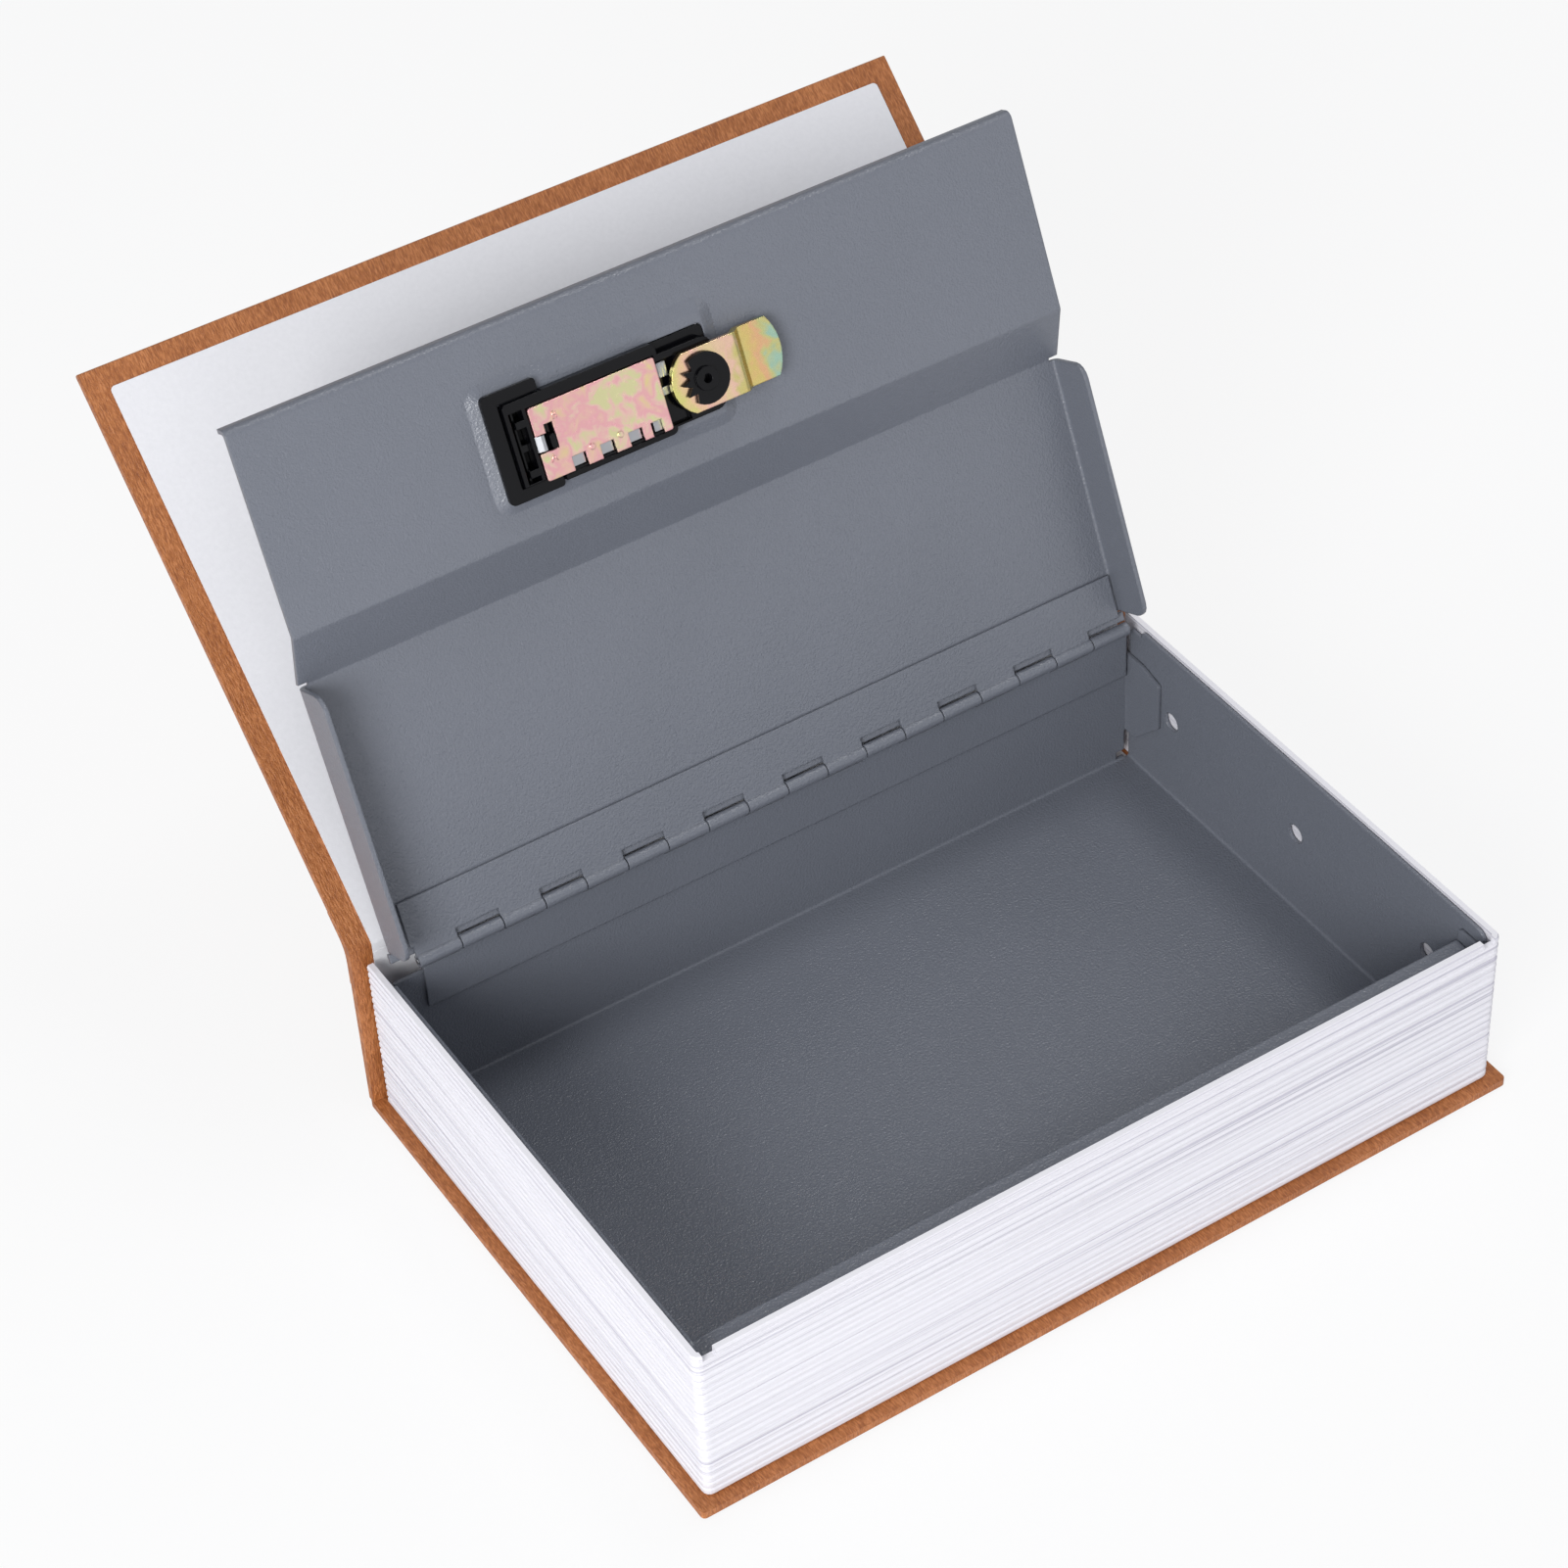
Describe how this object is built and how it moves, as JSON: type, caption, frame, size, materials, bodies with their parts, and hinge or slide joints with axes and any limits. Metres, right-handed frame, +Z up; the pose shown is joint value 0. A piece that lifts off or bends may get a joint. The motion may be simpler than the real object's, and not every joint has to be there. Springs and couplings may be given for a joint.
{
  "type": "book diversion safe",
  "caption": "Hollow book safe with leatherette covers, a ribbed page block, a steel tray and a hinged steel lid with a wheel combination lock and turning latch, shown open",
  "frame": {"origin": "centre of the page block in plan, on the underside of the back cover", "axes": "+X along the hinges, to the right when the fore-edge faces the viewer; +Y from the fore-edge to the spine; +Z up"},
  "size_m": [0.24, 0.2754, 0.1868],
  "materials": {
    "leatherette": "grained brown leatherette with a fine embossed grain",
    "endpaper": "matte off-white endpaper",
    "white_plastic": "moulded white plastic with page lines",
    "grey_powder_coat": "grey powder coat, satin",
    "bright_steel": "bright zinc-plated steel",
    "yellow_zinc": "iridescent yellow zinc plating",
    "black_plastic": "black moulded plastic",
    "spring_steel": "plain spring steel"
  },
  "bodies": {
    "box": {"back_cover": "leatherette", "spine": "leatherette", "spine_endpaper": "endpaper", "page_block": "white_plastic", "steel_tray": "grey_powder_coat", "box_hinge_leaf": "grey_powder_coat", "hinge_pin": "bright_steel"},
    "lid": {"lid_panel": "grey_powder_coat", "lid_hinge_leaf": "grey_powder_coat", "lock_bezel": "black_plastic", "lock_housing": "black_plastic", "lock_clip": "black_plastic", "cover_plate": "yellow_zinc", "wheel_axle": "bright_steel", "detent_spring": "spring_steel", "reset_shoe": "bright_steel"},
    "front_cover": {"front_cover_board": "leatherette", "front_endpaper": "endpaper"},
    "latch": {"knob": "black_plastic", "spiral_hub": "bright_steel", "latch_cam": "yellow_zinc", "cam_retainer": "black_plastic"},
    "slide": {"locking_slide": "bright_steel"},
    "reset": {"reset_lever": "black_plastic"},
    "wheel_1": {"number_wheel_1": "black_plastic", "wheel_sleeve_1": "yellow_zinc"},
    "wheel_2": {"number_wheel_2": "black_plastic", "wheel_sleeve_2": "yellow_zinc"},
    "wheel_3": {"number_wheel_3": "black_plastic", "wheel_sleeve_3": "yellow_zinc"}
  },
  "joints": [
    {"name": "lid_hinge", "type": "hinge", "parent": "box", "child": "lid", "pos_m": [0, 0.0706, 0.0521], "axis": [1, 0, 0], "range_deg": [-24, 114.28]},
    {"name": "front_cover_hinge", "type": "hinge", "parent": "box", "child": "front_cover", "pos_m": [0, 0.0802, 0.05595], "axis": [1, 0, 0], "range_deg": [-28.8, 136.95]},
    {"name": "latch_turn", "type": "hinge", "parent": "lid", "child": "latch", "pos_m": [0.0069, 0.10902, 0.15939], "axis": [0, -0.9115, 0.4112], "range_deg": [0, 90]},
    {"name": "slide_travel", "type": "slide", "parent": "lid", "child": "slide", "axis": [1, 0, 0], "range_m": [0, 0.002]},
    {"name": "reset_lever_slide", "type": "slide", "parent": "lid", "child": "reset", "axis": [0, 0.4112, 0.9115], "range_m": [0, 0.0024]},
    {"name": "wheel_1_spin", "type": "hinge", "parent": "lid", "child": "wheel_1", "pos_m": [-0.0278, 0.11248, 0.15783], "axis": [1, 0, 0], "continuous": true},
    {"name": "wheel_2_spin", "type": "hinge", "parent": "lid", "child": "wheel_2", "pos_m": [-0.0198, 0.11248, 0.15783], "axis": [1, 0, 0], "continuous": true},
    {"name": "wheel_3_spin", "type": "hinge", "parent": "lid", "child": "wheel_3", "pos_m": [-0.0118, 0.11248, 0.15783], "axis": [1, 0, 0], "continuous": true}
  ],
  "couplings": [
    {"joint": "front_cover_hinge", "follows": "lid_hinge", "ratio": 1.1979},
    {"joint": "slide_travel", "follows": "latch_turn", "m_per_rad": 0.0012732}
  ]
}
